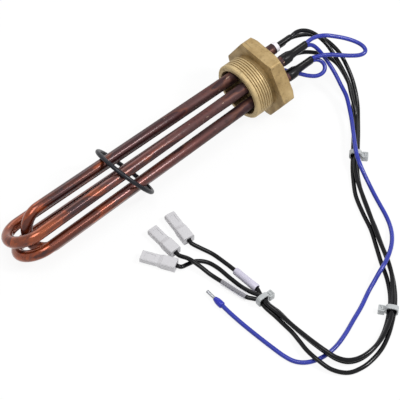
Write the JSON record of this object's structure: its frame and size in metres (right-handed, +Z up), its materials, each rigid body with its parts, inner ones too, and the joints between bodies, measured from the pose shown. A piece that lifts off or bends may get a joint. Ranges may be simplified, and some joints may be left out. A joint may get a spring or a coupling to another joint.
{
  "type": "screw plug immersion heater",
  "caption": "Screw plug immersion heater: brass hexagon plug with interlaced copper hairpin tubes, loose sealing ring, and black and blue leads with push-on connectors.",
  "frame": {"origin": "on the surface that the heater lies on, under the middle of the heater's box without its leads", "axes": "+X along the heater from the hairpin tips towards the terminals, +Z up, +Y away from the side where the leads lie"},
  "size_m": [0.3103, 0.2546, 0.0554],
  "materials": {
    "brass": "matt, turned and handled",
    "copper": "oxidised, blotched",
    "magnesia": "packed powder",
    "resistance_alloy": "drawn wire",
    "ceramic": "unglazed",
    "steel": "drawn",
    "ring_rubber": "satin",
    "sleeve_black": "satin",
    "pvc_black": "satin",
    "pvc_blue": "satin",
    "sleeve_nylon": "clouded",
    "housing_nylon": "clouded",
    "receptacle_brass": "stamped",
    "collar_blue": "smooth",
    "tin": "tinned",
    "tie_nylon": "clouded"
  },
  "bodies": {
    "root": {"screw_plug": "brass", "heating_tube_1": "copper", "heating_tube_2": "copper", "heating_tube_3": "copper", "magnesia_fill_1": "magnesia", "magnesia_fill_2": "magnesia", "magnesia_fill_3": "magnesia", "heating_coil_1": "resistance_alloy", "heating_coil_2": "resistance_alloy", "heating_coil_3": "resistance_alloy", "ceramic_bush_1": "ceramic", "ceramic_bush_2": "ceramic", "ceramic_bush_3": "ceramic", "ceramic_bush_4": "ceramic", "ceramic_bush_5": "ceramic", "ceramic_bush_6": "ceramic", "terminal_pin_1": "steel", "terminal_pin_2": "steel", "terminal_pin_3": "steel", "terminal_pin_4": "steel", "terminal_pin_5": "steel", "terminal_pin_6": "steel", "sealing_ring": "ring_rubber", "shrink_sleeve_1": "sleeve_black", "shrink_sleeve_2": "sleeve_black", "shrink_sleeve_3": "sleeve_black", "shrink_sleeve_4": "sleeve_black", "shrink_sleeve_5": "sleeve_black", "shrink_sleeve_6": "sleeve_black", "black_lead_1": "pvc_black", "black_lead_2": "pvc_black", "black_lead_3": "pvc_black", "blue_lead": "pvc_blue", "blue_link_1": "pvc_blue", "blue_link_2": "pvc_blue", "slack_sleeve_1": "sleeve_nylon", "slack_sleeve_2": "sleeve_nylon", "connector_housing_1": "housing_nylon", "connector_housing_2": "housing_nylon", "connector_housing_3": "housing_nylon", "receptacle_1": "receptacle_brass", "receptacle_2": "receptacle_brass", "receptacle_3": "receptacle_brass", "ferrule_collar": "collar_blue", "ferrule_tube": "tin", "cable_tie_1": "tie_nylon", "cable_tie_2": "tie_nylon", "cable_tie_3": "tie_nylon"}
  },
  "joints": []
}
